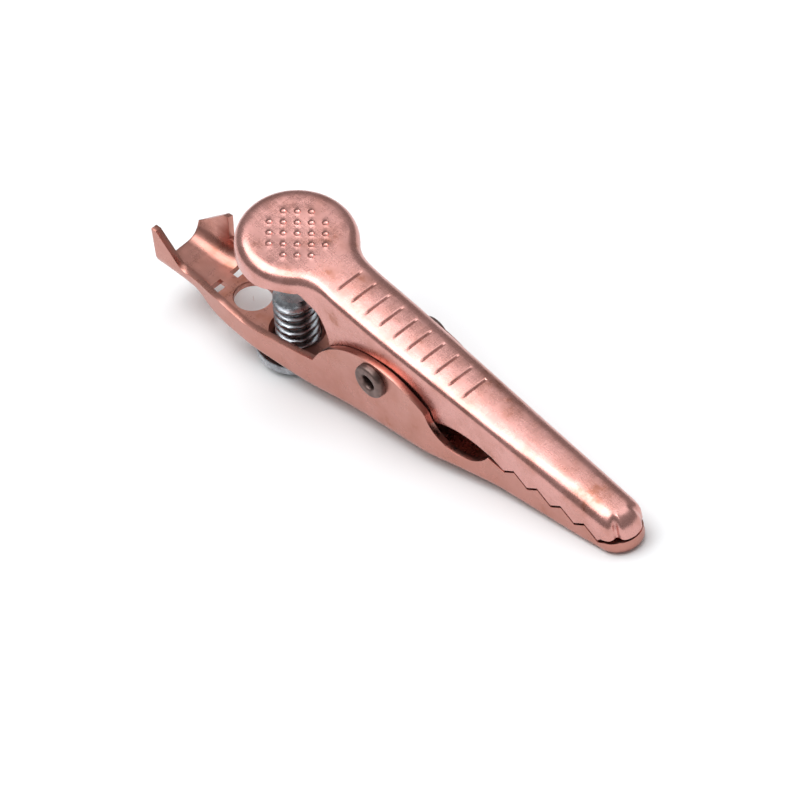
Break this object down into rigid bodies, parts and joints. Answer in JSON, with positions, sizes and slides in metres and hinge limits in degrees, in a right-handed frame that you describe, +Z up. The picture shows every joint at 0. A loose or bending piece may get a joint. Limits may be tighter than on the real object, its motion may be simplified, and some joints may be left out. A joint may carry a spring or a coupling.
{
  "type": "alligator clip",
  "caption": "Sprung sheet-metal test clip with toothed jaws, a dimpled thumb pad, a crimp barrel, a wire hole and a screw terminal in the tail.",
  "frame": {"origin": "bottom centre of the closed clip's box, on the surface that it lies on", "axes": "+X to the nose, +Z up out of the thumb pad, +Y across the clip, along the pivot"},
  "size_m": [0.0503, 0.0096, 0.0147],
  "materials": {
    "upper_copper": "polished",
    "lower_copper": "polished",
    "rivet_steel": "satin",
    "spring_steel": "satin",
    "screw_steel": "satin"
  },
  "bodies": {
    "lower": {"lower_jaw": "lower_copper", "pivot_rivet": "rivet_steel", "torsion_spring": "spring_steel"},
    "upper": {"upper_jaw": "upper_copper"},
    "screw": {"terminal_screw": "screw_steel"}
  },
  "joints": [
    {"name": "jaw_hinge", "type": "hinge", "parent": "lower", "child": "upper", "pos_m": [0.00035, 0, 0.00624], "axis": [0, -1, 0], "range_deg": [0, 17.8], "stiffness_Nm_per_rad": 0.0026, "springref_deg": -28.65, "deforming": ["torsion_spring"]},
    {"name": "screw_travel", "type": "slide", "parent": "lower", "child": "screw", "axis": [-0.1392, 0, -0.9903], "range_m": [0, 0.0024]}
  ]
}
